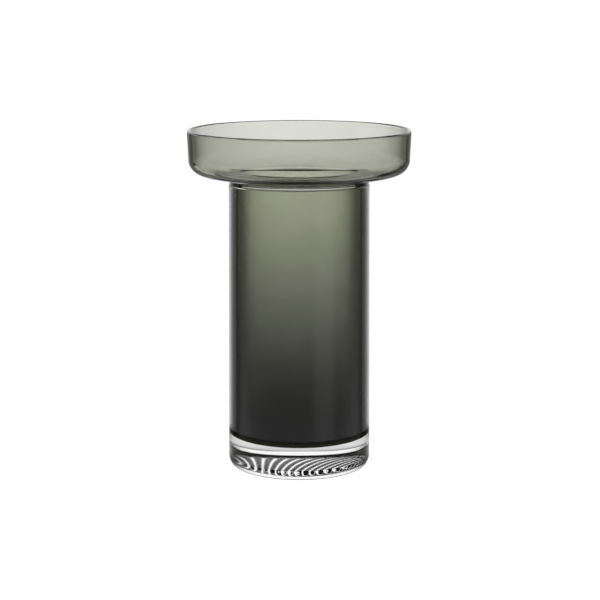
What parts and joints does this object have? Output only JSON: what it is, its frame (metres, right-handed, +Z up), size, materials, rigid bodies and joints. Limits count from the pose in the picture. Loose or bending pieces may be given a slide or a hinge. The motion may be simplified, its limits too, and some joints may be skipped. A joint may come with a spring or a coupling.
{
  "type": "glass cylinder vase",
  "caption": "Mouth-blown cylinder vase: clear glass cased over a smoke-glass layer, thick clear base with a moulded underside, and a wide shallow smoke-glass bowl at the top.",
  "frame": {"origin": "centre of the resting face, on the table", "axes": "+Z up along the axis of the vase; X and Y are equal, because the vase is round"},
  "size_m": [0.1566, 0.1566, 0.24],
  "materials": {
    "bowl_glass": "fire-polished translucent grey-green smoke glass",
    "neck_glass": "fire-polished smoke glass, dark where it is looked through edge-on",
    "liner_glass": "grey-green smoke glass that darkens to near black towards the base",
    "clear_glass": "clear polished glass",
    "sole_glass": "clear glass with a fine moulded lattice of round hollows"
  },
  "bodies": {
    "root": {"rim_bead": "bowl_glass", "collar_bowl": "bowl_glass", "neck_ring": "neck_glass", "smoke_liner": "liner_glass", "clear_casing": "clear_glass", "base_block": "clear_glass", "moulded_sole": "sole_glass", "foot_ring": "clear_glass"}
  },
  "joints": []
}
